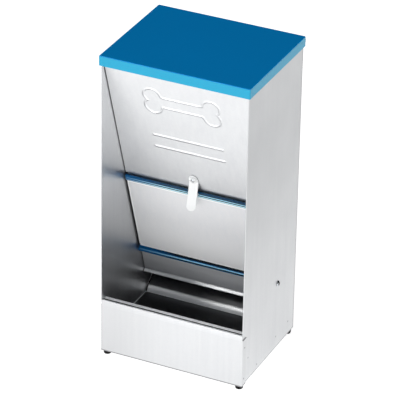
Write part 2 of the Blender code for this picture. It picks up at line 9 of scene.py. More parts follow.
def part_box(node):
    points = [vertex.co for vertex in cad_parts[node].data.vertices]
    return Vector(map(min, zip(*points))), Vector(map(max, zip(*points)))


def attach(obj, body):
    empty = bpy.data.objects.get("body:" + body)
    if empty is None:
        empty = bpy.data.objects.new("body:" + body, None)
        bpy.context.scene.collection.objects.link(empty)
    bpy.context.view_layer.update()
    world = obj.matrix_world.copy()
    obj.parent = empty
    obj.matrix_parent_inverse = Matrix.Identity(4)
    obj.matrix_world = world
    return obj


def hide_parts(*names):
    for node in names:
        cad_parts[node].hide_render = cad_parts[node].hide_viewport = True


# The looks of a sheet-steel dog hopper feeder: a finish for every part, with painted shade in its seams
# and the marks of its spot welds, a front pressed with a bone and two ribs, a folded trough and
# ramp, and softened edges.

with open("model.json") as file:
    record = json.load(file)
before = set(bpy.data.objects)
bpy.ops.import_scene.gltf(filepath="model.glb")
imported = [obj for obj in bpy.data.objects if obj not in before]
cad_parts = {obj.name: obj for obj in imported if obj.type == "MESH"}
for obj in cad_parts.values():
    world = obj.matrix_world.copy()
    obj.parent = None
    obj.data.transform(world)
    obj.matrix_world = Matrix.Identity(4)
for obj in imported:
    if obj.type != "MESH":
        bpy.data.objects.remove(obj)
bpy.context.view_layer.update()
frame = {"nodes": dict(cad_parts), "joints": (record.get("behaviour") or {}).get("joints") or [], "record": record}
print("frame loaded")

millimetre = 0.001
touching = 1e-6
smoothUpTo = math.radians(32)
swing = next(joint for joint in frame["joints"] if joint["name"] == "flap_swing")
pivot = Vector(swing["pos_m"])
frontLean = math.radians(18.5)
# local z runs up the sloping front, local -y points out of it
slopeFrame = Matrix.Translation(pivot) @ Matrix.Rotation(frontLean, 4, "X")
upSlope = slopeFrame.to_3x3() @ Vector((0, 0, 1))


# camera, floor and light

photoView = {
    "place": (1.874085, -4.041501, 2.756385),
    "azimuth": 24.91,
    "elevation": 28.93,
    "roll": -1.03,
    "lens": 258.205,
    "sensorWidth": 36,
    "clipEnd": 100,
}


def addCamera(view):
    azimuth, elevation, roll = (math.radians(view[key]) for key in ("azimuth", "elevation", "roll"))
    forward = Vector((-math.sin(azimuth) * math.cos(elevation), math.cos(azimuth) * math.cos(elevation),
                      -math.sin(elevation)))
    right = Vector((math.cos(azimuth), math.sin(azimuth), 0))
    down = forward.cross(right)
    turnedRight = right * math.cos(roll) + down * math.sin(roll)
    turnedDown = down * math.cos(roll) - right * math.sin(roll)
    bpy.ops.object.camera_add()
    camera = bpy.context.object
    turn = Matrix((turnedRight, -turnedDown, -forward)).transposed().to_4x4()
    camera.matrix_world = Matrix.Translation(view["place"]) @ turn
    camera.data.lens = view["lens"]
    camera.data.sensor_width = view["sensorWidth"]
    camera.data.clip_end = view["clipEnd"]
    bpy.context.scene.camera = camera


studio = {
    "floorRadius": 30,
    "floorColour": "#e6e6e6",
    "floorRoughness": 0.9,
    "floorSpecular": 0.1,
    # how strongly the floor glows at each place along y, brightest far in front of the feeder
    "floorGlow": ((-2.4, 1.9), (-0.6, 1.22), (-0.3, 1.16), (0.1, 0.88), (0.8, 0.9), (1.6, 1.1)),
    # the sky is pale in front and dark behind, so that the lid reflects nothing
    "horizon": "#ffffff",
    "horizonFrom": (0.02, 0.08),
    "frontSky": "#7d8083",
    "backSky": "#0c0d0e",
    "skyFrom": (-0.3, 0.45),
    "worldStrength": 0.9,
    "aim": (0, 0, 0.3),
    # place, width, height, watts
    "softboxes": {
        "front softbox": ((-0.6, -3.6, 0.4), 3.0, 0.7, 24),
        "top softbox": ((0.1, 0.25, 2.6), 1.0, 1.0, 8),
        "key softbox": ((-1.5, -1.97, 2.57), 0.5, 0.5, 11),
        "fill softbox": ((1.35, -1.75, 2.8), 1.2, 1.2, 6),
    },
}


def linearColour(hexCode):
    channels = [int(hexCode[i:i + 2], 16) / 255 for i in (1, 3, 5)]
    return (*[c / 12.92 if c <= 0.04045 else ((c + 0.055) / 1.055) ** 2.4 for c in channels], 1.0)


def addNode(tree, kind, values=None, links=None, **settings):
    node = tree.nodes.new(kind)
    for key, value in settings.items():
        setattr(node, key, value)
    for key, value in (values or {}).items():
        node.inputs[key].default_value = value
    for key, source in (links or {}).items():
        tree.links.new(source, node.inputs[key])
    return node


def addStudio(settings):
    world = bpy.data.worlds.new("studio")
    bpy.context.scene.world = world
    world.use_nodes = True
    tree = world.node_tree
    tree.nodes.clear()
    direction = addNode(tree, "ShaderNodeTexCoord").outputs["Generated"]
    toward = addNode(tree, "ShaderNodeSeparateXYZ", links={"Vector": direction})
    behind = addNode(tree, "ShaderNodeMapRange", {"From Min": settings["skyFrom"][0],
                     "From Max": settings["skyFrom"][1]}, {"Value": toward.outputs["Y"]},
                     interpolation_type="SMOOTHSTEP")
    sky = addNode(tree, "ShaderNodeMix", {6: linearColour(settings["frontSky"]),
                  7: linearColour(settings["backSky"])}, {0: behind.outputs["Result"]}, data_type="RGBA")
    above = addNode(tree, "ShaderNodeMapRange", {"From Min": settings["horizonFrom"][0],
                    "From Max": settings["horizonFrom"][1]}, {"Value": toward.outputs["Z"]},
                    interpolation_type="SMOOTHSTEP")
    whole = addNode(tree, "ShaderNodeMix", {6: linearColour(settings["horizon"])},
                    {0: above.outputs["Result"], 7: sky.outputs[2]}, data_type="RGBA")
    glow = addNode(tree, "ShaderNodeBackground", {"Strength": settings["worldStrength"]},
                   {"Color": whole.outputs[2]})
    addNode(tree, "ShaderNodeOutputWorld", links={"Surface": glow.outputs["Background"]})

    paper = bpy.data.materials.new("white studio floor")
    paper.use_nodes = True
    shader = paper.node_tree.nodes["Principled BSDF"]
    shader.inputs["Base Color"].default_value = linearColour(settings["floorColour"])
    shader.inputs["Roughness"].default_value = settings["floorRoughness"]
    shader.inputs["Specular IOR Level"].default_value = settings["floorSpecular"]
    spot = addNode(paper.node_tree, "ShaderNodeTexCoord").outputs["Object"]
    along = addNode(paper.node_tree, "ShaderNodeSeparateXYZ", links={"Vector": spot}).outputs["Y"]
    places = [place for place, strength in settings["floorGlow"]]
    strongest = max(strength for place, strength in settings["floorGlow"])
    reach = addNode(paper.node_tree, "ShaderNodeMapRange",
                    {"From Min": places[0], "From Max": places[-1]}, {"Value": along})
    glow = addNode(paper.node_tree, "ShaderNodeValToRGB", links={"Fac": reach.outputs["Result"]})
    stops = glow.color_ramp.elements
    for _ in places[2:]:
        stops.new(0.5)
    for stop, (place, strength) in zip(stops, settings["floorGlow"]):
        stop.position = (place - places[0]) / (places[-1] - places[0])
        stop.color = (*[strength / strongest] * 3, 1)
    shader.inputs["Emission Strength"].default_value = strongest
    paper.node_tree.links.new(glow.outputs["Color"], shader.inputs["Emission Color"])
    bpy.ops.mesh.primitive_circle_add(vertices=96, radius=settings["floorRadius"], fill_type="NGON")
    floor = bpy.context.object
    floor.name = "studioFloor"
    floor.data.materials.append(paper)

    for name, (place, width, height, watts) in settings["softboxes"].items():
        bpy.ops.object.light_add(type="AREA", location=place)
        light = bpy.context.object
        light.name = name.replace(" ", "_")
        light.data.shape = "RECTANGLE"
        light.data.size = width
        light.data.size_y = height
        light.data.energy = watts
        aim = Vector(settings["aim"]) - Vector(place)
        light.rotation_euler = aim.to_track_quat("-Z", "Y").to_euler()


addCamera(photoView)
addStudio(studio)
bpy.context.scene.view_settings.view_transform = "Standard"
print("camera and studio made")


# finishes

def newMaterial(name):
    material = bpy.data.materials.new(name)
    material.use_nodes = True
    tree = material.node_tree
    return material, tree, tree.nodes["Principled BSDF"]


def bandMask(tree, place, band):
    # how much of a band lies at each place: none up to its first edge and all past its second, along
    # its direction or by the distance from its centre in a plane
    if "centre" in band:
        plane = Vector(band["plane"])
        flat = addNode(tree, "ShaderNodeVectorMath", {1: plane}, {0: place}, operation="MULTIPLY")
        along = addNode(tree, "ShaderNodeVectorMath", {1: Vector(band["centre"]) * plane},
                        {0: flat.outputs["Vector"]}, operation="DISTANCE").outputs["Value"]
    else:
        along = addNode(tree, "ShaderNodeVectorMath", {1: band["along"]}, {0: place},
                        operation="DOT_PRODUCT").outputs["Value"]
    if band.get("bothSides"):
        along = addNode(tree, "ShaderNodeMath", links={0: along}, operation="ABSOLUTE").outputs["Value"]
    first, second = band["edge"]
    low, high = sorted((first, second))
    ends = (0, 1) if second > first else (1, 0)
    mask = addNode(tree, "ShaderNodeMapRange", {"From Min": low, "From Max": high, "To Min": ends[0],
                   "To Max": ends[1]}, {"Value": along}, interpolation_type="SMOOTHSTEP").outputs["Result"]
    for inner in band.get("within", ()):
        mask = addNode(tree, "ShaderNodeMath", links={0: mask, 1: bandMask(tree, place, inner)},
                       operation="MULTIPLY").outputs["Value"]
    if "strength" in band:
        mask = addNode(tree, "ShaderNodeMath", {1: band["strength"]}, {0: mask},
                       operation="MULTIPLY").outputs["Value"]
    return mask


def layBands(tree, shader, place, colour, metallic, bands):
    # painted shade in the seams and painted highlights on the edges, with weld marks, each mixed over the colour
    # and the metal beneath
    shader.inputs["Metallic"].default_value = metallic
    mixed = {}
    for band in bands:
        mask = bandMask(tree, place, band)
        colour = addNode(tree, "ShaderNodeMix", {7: linearColour(band["colour"])},
                         {0: mask, 6: colour}, data_type="RGBA").outputs[2]
        if "metallic" in band:
            metal = addNode(tree, "ShaderNodeMix", {2: metallic, 3: band["metallic"]},
                            {0: mask, **mixed}, data_type="FLOAT").outputs[0]
            mixed = {2: metal}
    tree.links.new(colour, shader.inputs["Base Color"])
    if mixed:
        tree.links.new(metal, shader.inputs["Metallic"])


# Hot-dip galvanised steel sheet, skin-passed: a soft satin mirror with faint rolling streaks,
# a crystal spangle a few millimetres across and the shallow waves that thin sheet always has.
steelFinish = {
    "light": "#d5d6d7",
    "dark": "#cfd0d2",
    "metallic": 1.0,
    "roughness": (0.34, 0.42),
    "spangle": 3.5 * millimetre,
    "spangleShare": 0.12,
    "streak": 9 * millimetre,
    "streakLength": 240 * millimetre,
    "streakShare": 0.8,
    "cloud": 71.43 * millimetre,
    "wave": 85 * millimetre,
    "waveHeight": 0.06 * millimetre,
}

# The flap's sheet is matter than the rest: the same zinc, rubbed to an even grey.
flapFinish = {**steelFinish, "light": "#e7e7e8", "dark": "#e2e3e5", "metallic": 0.12,
              "roughness": (0.46, 0.54)}


def galvanisedSteel(name, finish, along, bands=()):
    material, tree, shader = newMaterial(name)
    place = addNode(tree, "ShaderNodeTexCoord").outputs["Object"]
    stretch = [1 / finish["streak"]] * 3
    stretch["XYZ".index(along)] = 1 / finish["streakLength"]
    streaked = addNode(tree, "ShaderNodeMapping", {"Scale": stretch}, {"Vector": place})
    streaks = addNode(tree, "ShaderNodeTexNoise", {"Scale": 1, "Detail": 3, "Roughness": 0.6},
                      {"Vector": streaked.outputs["Vector"]})
    flakes = addNode(tree, "ShaderNodeTexVoronoi", {"Scale": 1 / finish["spangle"]}, {"Vector": place})
    clouds = addNode(tree, "ShaderNodeTexNoise",
                     {"Scale": 1 / finish["cloud"], "Detail": 4, "Roughness": 0.55}, {"Vector": place})
    flake = addNode(tree, "ShaderNodeSeparateColor", links={"Color": flakes.outputs["Color"]})
    spangle = addNode(tree, "ShaderNodeMath", {1: finish["spangleShare"]}, {0: flake.outputs["Red"]},
                      operation="MULTIPLY")
    tone = addNode(tree, "ShaderNodeMath", {1: finish["streakShare"]},
                   {0: streaks.outputs["Fac"], 2: spangle.outputs["Value"]}, operation="MULTIPLY_ADD")
    colour = addNode(tree, "ShaderNodeValToRGB", links={"Fac": tone.outputs["Value"]})
    colour.color_ramp.elements[0].position = 0.25
    colour.color_ramp.elements[0].color = linearColour(finish["dark"])
    colour.color_ramp.elements[1].position = 0.65
    colour.color_ramp.elements[1].color = linearColour(finish["light"])
    layBands(tree, shader, place, colour.outputs["Color"], finish["metallic"], bands)
    polish = addNode(tree, "ShaderNodeMapRange", {"From Min": 0.3, "From Max": 0.7,
                     "To Min": finish["roughness"][0], "To Max": finish["roughness"][1]},
                     {"Value": clouds.outputs["Fac"]})
    tree.links.new(polish.outputs["Result"], shader.inputs["Roughness"])
    waves = addNode(tree, "ShaderNodeTexNoise", {"Scale": 1 / finish["wave"], "Detail": 1},
                    {"Vector": place})
    relief = addNode(tree, "ShaderNodeBump", {"Strength": 1.0, "Distance": finish["waveHeight"]},
                     {"Height": waves.outputs["Fac"]})
    tree.links.new(relief.outputs["Normal"], shader.inputs["Normal"])
    return material


# Stoved blue enamel on steel: an even, saturated colour under a low gloss, with the slight
# orange peel that sprayed paint dries to. Round the lid's skirt the colour is painted greener and less blue, as
# painted light.
enamelFinish = {
    "colour": "#009aea",
    # painted light: the skirt gets a greener, less blue colour than the top
    "skirtPaintedLightColour": "#009fc6",
    "paintedLightFrom": (0.5984, 0.5992),
    "roughness": 0.3,
    "specular": 0.32,
    "cloud": 111.11 * millimetre,
    "lift": (0.96, 1.04),
    "peel": 2.2 * millimetre,
    "peelHeight": 0.006 * millimetre,
}


def blueEnamel(finish):
    material, tree, shader = newMaterial("blue stoved enamel")
    place = addNode(tree, "ShaderNodeTexCoord").outputs["Object"]
    clouds = addNode(tree, "ShaderNodeTexNoise", {"Scale": 1 / finish["cloud"], "Detail": 3},
                     {"Vector": place})
    height = addNode(tree, "ShaderNodeSeparateXYZ", links={"Vector": place}).outputs["Z"]
    # painted light: below this height the skirt's own greener colour is used
    onTop = addNode(tree, "ShaderNodeMapRange", {"From Min": finish["paintedLightFrom"][0],
                    "From Max": finish["paintedLightFrom"][1]}, {"Value": height})
    paintedFaceLight = addNode(tree, "ShaderNodeMix", {6: linearColour(finish["skirtPaintedLightColour"]),
                    7: linearColour(finish["colour"])}, {0: onTop.outputs["Result"]}, data_type="RGBA")
    tone = addNode(tree, "ShaderNodeHueSaturation", links={"Color": paintedFaceLight.outputs[2]})
    lift = addNode(tree, "ShaderNodeMapRange", {"To Min": finish["lift"][0], "To Max": finish["lift"][1]},
                   {"Value": clouds.outputs["Fac"]})
    tree.links.new(lift.outputs["Result"], tone.inputs["Value"])
    tree.links.new(tone.outputs["Color"], shader.inputs["Base Color"])
    shader.inputs["Roughness"].default_value = finish["roughness"]
    shader.inputs["Specular IOR Level"].default_value = finish["specular"]
    peel = addNode(tree, "ShaderNodeTexNoise", {"Scale": 1 / finish["peel"], "Detail": 2},
                   {"Vector": place})
    relief = addNode(tree, "ShaderNodeBump", {"Strength": 1.0, "Distance": finish["peelHeight"]},
                     {"Height": peel.outputs["Fac"]})
    tree.links.new(relief.outputs["Normal"], shader.inputs["Normal"])
    return material


# Extruded PVC edging: a glossy mid blue, with painted highlights along its ribs and painted
# shade in the grooves between them, with the fine lengthwise lines that the die leaves.
edgingFinish = {
    "colour": "#06609c",
    "roughness": 0.2,
    "specular": 0.22,
    "line": 0.9 * millimetre,
    "lineHeight": 0.03 * millimetre,
    "lift": (0.85, 1.15),
    # the x over which the ribs' painted highlights and shade come in, and the share of them left at the left end
    "ribLightFrom": (-0.13, -0.06),
    "ribLightAtLeast": 0.25,
}

# the painted highlights and shade at each height up the slope, in millimetres from the pivot
upperRibLightAndShade = ((182.0, "#000c14"), (183.3, "#000c14"), (183.7, "#c8f2ff"), (185.6, "#c8f2ff"),
             (186.0, "#000c14"), (188.2, "#000c14"), (188.6, "#b4e6fa"), (190.2, "#8ccbe6"),
             (190.7, "#012032"), (192.2, "#06304a"), (194.4, "#0a4468"))
lowerRibLightAndShade = ((-4.0, "#062a42"), (-2.6, "#2f98d0"), (-0.8, "#2485bc"), (0.2, "#02202f"),
             (2.2, "#02202f"), (3.0, "#9ad8f8"), (4.4, "#8fd0f4"), (5.4, "#0d5a90"),
             (7.0, "#0a4a7a"), (7.8, "#011626"), (11.4, "#010f1c"))


def ribPaintedLight(tree, place, finish, ribs):
    # the plain colour at the left end, the ribs' painted highlights and shade further along
    up = addNode(tree, "ShaderNodeVectorMath", {1: tuple(upSlope)}, {0: place}, operation="DOT_PRODUCT")
    low, high = (upSlope.dot(pivot) + ribs[i][0] * millimetre for i in (0, -1))
    reach = addNode(tree, "ShaderNodeMapRange", {"From Min": low, "From Max": high},
                    {"Value": up.outputs["Value"]})
    colours = addNode(tree, "ShaderNodeValToRGB", links={"Fac": reach.outputs["Result"]})
    stops = colours.color_ramp.elements
    for _ in ribs[2:]:
        stops.new(0.5)
    for stop, (height, colour) in zip(stops, ribs):
        stop.position = (height - ribs[0][0]) / (ribs[-1][0] - ribs[0][0])
        stop.color = linearColour(colour)
    across = addNode(tree, "ShaderNodeSeparateXYZ", links={"Vector": place}).outputs["X"]
    share = addNode(tree, "ShaderNodeMapRange", {"From Min": finish["ribLightFrom"][0],
                    "From Max": finish["ribLightFrom"][1], "To Min": finish["ribLightAtLeast"]},
                    {"Value": across})
    return addNode(tree, "ShaderNodeMix", {6: linearColour(finish["colour"])},
                   {0: share.outputs["Result"], 7: colours.outputs["Color"]}, data_type="RGBA").outputs[2]


def blueEdging(name, finish, ribs=()):
    material, tree, shader = newMaterial(name)
    shader.inputs["Specular IOR Level"].default_value = finish["specular"]
    place = addNode(tree, "ShaderNodeTexCoord").outputs["Object"]
    drawn = addNode(tree, "ShaderNodeMapping",
                    {"Scale": (2, 1 / finish["line"], 1 / finish["line"])}, {"Vector": place})
    lines = addNode(tree, "ShaderNodeTexNoise", {"Scale": 1, "Detail": 1},
                    {"Vector": drawn.outputs["Vector"]})
    tone = addNode(tree, "ShaderNodeHueSaturation", {"Color": linearColour(finish["colour"])})
    if ribs:
        tree.links.new(ribPaintedLight(tree, place, finish, ribs), tone.inputs["Color"])
    lift = addNode(tree, "ShaderNodeMapRange", {"To Min": finish["lift"][0], "To Max": finish["lift"][1]},
                   {"Value": lines.outputs["Fac"]})
    tree.links.new(lift.outputs["Result"], tone.inputs["Value"])
    tree.links.new(tone.outputs["Color"], shader.inputs["Base Color"])
    shader.inputs["Roughness"].default_value = finish["roughness"]
    relief = addNode(tree, "ShaderNodeBump", {"Strength": 1.0, "Distance": finish["lineHeight"]},
                     {"Height": lines.outputs["Fac"]})
    tree.links.new(relief.outputs["Normal"], shader.inputs["Normal"])
    return material


# Moulded white nylon: bright and half matt, with the fine spark-eroded grain of its mould.
nylonFinish = {
    "colour": "#f4f5f5",
    "roughness": 0.42,
    "ior": 1.53,
    "grain": 0.6 * millimetre,
    "grainHeight": 0.01 * millimetre,
    "lift": (0.97, 1.0),
}


def whiteNylon(finish):
    material, tree, shader = newMaterial("moulded white nylon")
    place = addNode(tree, "ShaderNodeTexCoord").outputs["Object"]
    grain = addNode(tree, "ShaderNodeTexNoise", {"Scale": 1 / finish["grain"], "Detail": 2},
                    {"Vector": place})
    tone = addNode(tree, "ShaderNodeHueSaturation", {"Color": linearColour(finish["colour"])})
    lift = addNode(tree, "ShaderNodeMapRange", {"To Min": finish["lift"][0], "To Max": finish["lift"][1]},
                   {"Value": grain.outputs["Fac"]})
    tree.links.new(lift.outputs["Result"], tone.inputs["Value"])
    tree.links.new(tone.outputs["Color"], shader.inputs["Base Color"])
    shader.inputs["Roughness"].default_value = finish["roughness"]
    shader.inputs["IOR"].default_value = finish["ior"]
    relief = addNode(tree, "ShaderNodeBump", {"Strength": 1.0, "Distance": finish["grainHeight"]},
                     {"Height": grain.outputs["Fac"]})
    tree.links.new(relief.outputs["Normal"], shader.inputs["Normal"])
    return material


# Moulded black rubber: matt, with a dusty bloom in patches.
rubberFinish = {"colour": "#070708", "bloom": "#101011", "roughness": (0.6, 0.85), "specular": 0.15,
                "patch": 4 * millimetre}


def blackRubber(finish):
    material, tree, shader = newMaterial("moulded black rubber")
    place = addNode(tree, "ShaderNodeTexCoord").outputs["Object"]
    patches = addNode(tree, "ShaderNodeTexNoise", {"Scale": 1 / finish["patch"], "Detail": 4},
                      {"Vector": place})
    colour = addNode(tree, "ShaderNodeValToRGB", links={"Fac": patches.outputs["Fac"]})
    colour.color_ramp.elements[0].position = 0.35
    colour.color_ramp.elements[0].color = linearColour(finish["colour"])
    colour.color_ramp.elements[1].position = 0.75
    colour.color_ramp.elements[1].color = linearColour(finish["bloom"])
    tree.links.new(colour.outputs["Color"], shader.inputs["Base Color"])
    rough = addNode(tree, "ShaderNodeMapRange",
                    {"To Min": finish["roughness"][0], "To Max": finish["roughness"][1]},
                    {"Value": patches.outputs["Fac"]})
    tree.links.new(rough.outputs["Result"], shader.inputs["Roughness"])
    shader.inputs["Specular IOR Level"].default_value = finish["specular"]
    return material


# Bright zinc plate on turned steel: bluish white, brighter than the sheet, with turning marks.
zincFinish = {"light": "#d5d8db", "dark": "#b4b8bc", "roughness": (0.16, 0.3), "mark": 0.8 * millimetre}


def brightZinc(name, finish, bands=()):
    material, tree, shader = newMaterial(name)
    place = addNode(tree, "ShaderNodeTexCoord").outputs["Object"]
    marks = addNode(tree, "ShaderNodeTexNoise", {"Scale": 1 / finish["mark"], "Detail": 3},
                    {"Vector": place})
    colour = addNode(tree, "ShaderNodeValToRGB", links={"Fac": marks.outputs["Fac"]})
    colour.color_ramp.elements[0].position = 0.3
    colour.color_ramp.elements[0].color = linearColour(finish["dark"])
    colour.color_ramp.elements[1].position = 0.7
    colour.color_ramp.elements[1].color = linearColour(finish["light"])
    layBands(tree, shader, place, colour.outputs["Color"], 1.0, bands)
    rough = addNode(tree, "ShaderNodeMapRange",
                    {"To Min": finish["roughness"][0], "To Max": finish["roughness"][1]},
                    {"Value": marks.outputs["Fac"]})
    tree.links.new(rough.outputs["Result"], shader.inputs["Roughness"])
    return material


# where each sheet has painted shade and painted highlights, and where it is welded

def upTheSlope(*heights):
    # heights up the slope from the pivot, in millimetres, as places along upSlope
    return tuple(upSlope.dot(pivot) + height * millimetre for height in heights)


def slopeBand(first, second, **look):
    # from none at the first height up the slope to all at the second
    return {"along": tuple(upSlope), "edge": upTheSlope(first, second), **look}


def bandAlong(direction, first, second, **look):
    # from none at the first distance to all at the second, in millimetres
    return {"along": direction, "edge": (first * millimetre, second * millimetre), **look}


rightward, backward, upward = (1, 0, 0), (0, 1, 0), (0, 0, 1)
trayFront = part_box("feed_tray")[0][1]
bodyFront = trayFront - 7.7 * millimetre
behindTrough = bandAlong(backward, 0, 10)


def weldMarks(places, edge, **look):
    # dull spots on the sides, each at its depth from the body's front and its height, in millimetres
    return [{"plane": (0, 1, 1), "centre": (0, bodyFront + depth * millimetre, height * millimetre),
             "edge": tuple(radius * millimetre for radius in edge), **look} for depth, height in places]


frontPaintedShade = (
    # the shaded strip under the flap, then painted shade along the seams at the sides and in the gaps beside the
    # flap
    slopeBand(-2, -8, colour="#d8d9db", metallic=0.3, within=(slopeBand(-55, -54),)),
    bandAlong(rightward, 136.8, 137.4, bothSides=True, colour="#242426"),
    bandAlong(rightward, 133.5, 134.1, bothSides=True, colour="#0e0e0f",
              within=(slopeBand(-1, 1), slopeBand(197, 195))),
)
flapPaintedLight = (
    # painted light: paler towards the foot, and painted highlights along its four edges
    slopeBand(110, 30, colour="#ffffff", strength=0.6),
    bandAlong(rightward, 131.4, 132.4, bothSides=True, colour="#ffffff", metallic=0.0),
    slopeBand(177.0, 178.6, colour="#ffffff", metallic=0.0),
    slopeBand(15.6, 14.2, colour="#ffffff", metallic=0.0),
)
trayPaintedLight = (
    bandAlong(upward, 36.4, 36.1, colour="#8c8d90"),  # the trough's floor, darker
    # painted highlight on the ramp's rounded nose
    bandAlong(upward, 49.2, 47.6, colour="#ffffff", strength=0.9, metallic=0.7,
              within=(bandAlong(upward, 36.4, 36.8), behindTrough)),
    # painted shade along the seams at the sides
    bandAlong(rightward, 135.2, 136.0, bothSides=True, colour="#161617",
              within=(bandAlong(upward, 36.3, 36.8), bandAlong(upward, 108, 106))),
    # painted highlight along the foot of the ramp
    bandAlong(upward, 38.1, 37.6, colour="#ffffff", metallic=0.1,
              within=(bandAlong(upward, 36.2, 36.6), behindTrough)),
    # painted highlight along the rim of the trough, and painted shade in the slot between it and the skirt
    bandAlong(upward, 111.2, 111.8, colour="#ffffff", metallic=0.3),
    bandAlong(backward, trayFront / millimetre + 2.2, trayFront / millimetre + 1.7, colour="#0b0b0c",
              metallic=1.0, within=(bandAlong(upward, 112.2, 111.9),)),
)
sideLightShadeAndWelds = (
    # painted shade: the right side, darker towards the top
    bandAlong(rightward, 138.5, 139.1, colour="#a8a9aa", strength=0.6,
              within=(bandAlong(upward, 50, 500),)),
    # painted light: the left side, paler towards the top
    bandAlong(rightward, -138.0, -138.6, colour="#ffffff", strength=0.35,
              within=(bandAlong(upward, 300, 420),)),
    bandAlong(backward, 105.5, 106.5, colour="#9c9d9e", strength=0.6),  # painted shade along the rear and lower edges
    bandAlong(upward, 11.2, 10.2, colour="#87888a", strength=0.8),
    *weldMarks(((26.5, 55.6), (65.7, 20.0), (148.4, 32.6), (202.2, 35.5)), (2.1, 1.5),
               colour="#77787a", strength=0.7),
)
# painted shade: a near-black disc over the recess of each cap
capPaintedShade = (
    {"plane": (0, 1, 1), "centre": tuple(pivot), "edge": (3.8 * millimetre, 3.3 * millimetre),
     "colour": "#050506", "metallic": 0.3},
)
skirtShadeAndWelds = (
    # painted shade under the hem, towards the left and along the lower edge
    bandAlong(upward, 103.5, 102.0, colour="#b9b9ba", strength=0.2),
    bandAlong(rightward, 20, -140, colour="#a9a9aa", strength=0.25),
    bandAlong(upward, 11.2, 9.6, colour="#8f8f90"),
    *weldMarks(((8.8, 86.3), (7.1, 23.0)), (2.0, 1.4), colour="#6f7072", strength=0.8),
)
uprightSteel = galvanisedSteel("galvanised steel, rolled upright", steelFinish, "Z", sideLightShadeAndWelds)
frontSteel = galvanisedSteel("galvanised steel, grimed at its seams", steelFinish, "Z", frontPaintedShade)
traySteel = galvanisedSteel("galvanised steel, grimed in the trough", steelFinish, "X", trayPaintedLight)
skirtSteel = galvanisedSteel("galvanised steel, with painted shade along the hem", steelFinish, "Z", skirtShadeAndWelds)
flapSteel = galvanisedSteel("rubbed galvanised steel with painted highlights", flapFinish, "Z", flapPaintedLight)
lidPaint = blueEnamel(enamelFinish)
edgingPlastic = blueEdging("extruded blue PVC", edgingFinish)
upperEdgingPaintedLight = blueEdging("extruded blue PVC, upper ribs with painted light and shade", edgingFinish, upperRibLightAndShade)
lowerEdgingPaintedLight = blueEdging("extruded blue PVC, lower ribs with painted light and shade", edgingFinish, lowerRibLightAndShade)
latchNylon = whiteNylon(nylonFinish)
footRubber = blackRubber(rubberFinish)
fastenerZinc = brightZinc("bright zinc plated steel", zincFinish)
shadedCapZinc = brightZinc("bright zinc plated cap with painted shade in its recess", zincFinish, capPaintedShade)
print("finishes made")


# helpers for modelling by hand

def selectOnly(piece):
    bpy.ops.object.select_all(action="DESELECT")
    piece.select_set(True)
    bpy.context.view_layer.objects.active = piece


def editMode(piece, kind="VERT"):
    selectOnly(piece)
    bpy.ops.object.mode_set(mode="EDIT")
    bpy.ops.mesh.select_mode(type=kind)
    bpy.ops.mesh.select_all(action="DESELECT")


def pickWhere(piece, kind, test):
    # selects the vertices, edges or faces that pass the test, in edit mode
    mesh = bmesh.from_edit_mesh(piece.data)
    parts = {"VERT": mesh.verts, "EDGE": mesh.edges, "FACE": mesh.faces}[kind]
    for part in parts:
        if test(part):
            part.select_set(True)
    mesh.select_flush(True)
    bmesh.update_edit_mesh(piece.data)


def pickEdgesAt(piece, **place):
    # selects the edges that lie at the given x, y or z
    pickWhere(piece, "EDGE", lambda e: all(abs(getattr(v.co, axis) - value) < touching
              for v in e.verts for axis, value in place.items()))


def objectMode():
    bpy.ops.object.mode_set(mode="OBJECT")


def addBevel(piece, width, segments, sharperThan):
    edge = piece.modifiers.new("soft edge", "BEVEL")
    edge.width = width
    edge.segments = segments
    edge.limit_method = "ANGLE"
    edge.angle_limit = math.radians(sharperThan)


def applyModifiers(piece):
    selectOnly(piece)
    for modifier in list(piece.modifiers):
        bpy.ops.object.modifier_apply(modifier=modifier.name)


def settle(piece, name, body, material, replaced=()):
    # place in the mesh, smooth shading, finish and body
    selectOnly(piece)
    bpy.ops.object.transform_apply(location=True, rotation=True, scale=True)
    bpy.ops.object.shade_smooth_by_angle(angle=smoothUpTo)
    flatten = piece.modifiers.new("even faces", "WEIGHTED_NORMAL")
    flatten.keep_sharp = True
    bpy.ops.object.modifier_apply(modifier=flatten.name)
    piece.name = name
    piece.data.name = name
    piece.data.materials.clear()
    piece.data.materials.append(material)
    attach(piece, body)
    if replaced:
        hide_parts(*replaced)


# the pressed front: a bone and two straight ribs raised from the sheet

pressedFront = {
    "halfWidth": 138.0 * millimetre,
    "face": 4.5 * millimetre,
    "sheet": 0.8 * millimetre,
    "foot": -55.6 * millimetre,
    "lip": (-1.77 * millimetre, -58.8 * millimetre),
    "flange": 3.8 * millimetre,
    "sideRadius": 0.8 * millimetre,
    "foldRadius": 2 * millimetre,
    # the rest is in millimetres: left, right, bottom and top of the pressed area
    "pressArea": (-86, 86, 258, 436),
    "pressCuts": (12, 12),
    "boneCentre": (2, 396),
    "boneHalfLength": 56,
    "boneKnob": 16,
    "boneKnobRise": 12.48,
    "boneShaft": 11.5,
    "boneBlend": 6,
    "ribHeights": (312, 284),
    "ribHalfLength": 66,
    "lineHalf": 2.6,
    "ribHalf": 3.2,
    "rise": 1.3,
}


def softUnion(a, b, blend):
    h = max(0.0, min(1.0, 0.5 + 0.5 * (b - a) / blend))
    return b + (a - b) * h - blend * h * (1 - h)


def boneDistance(x, z, plan):
    # how far a point is from the outline of the bone, less than nothing inside it
    x = abs(x - plan["boneCentre"][0])
    z = abs(z - plan["boneCentre"][1])
    reach = plan["boneHalfLength"]
    shaft = max(x - reach, z - plan["boneShaft"])
    lobe = math.hypot(x - reach, z - plan["boneKnobRise"]) - plan["boneKnob"]
    return softUnion(shaft, lobe, plan["boneBlend"])


def ridge(distance, half):
    return 0.5 + 0.5 * math.cos(math.pi * distance / half) if abs(distance) < half else 0.0


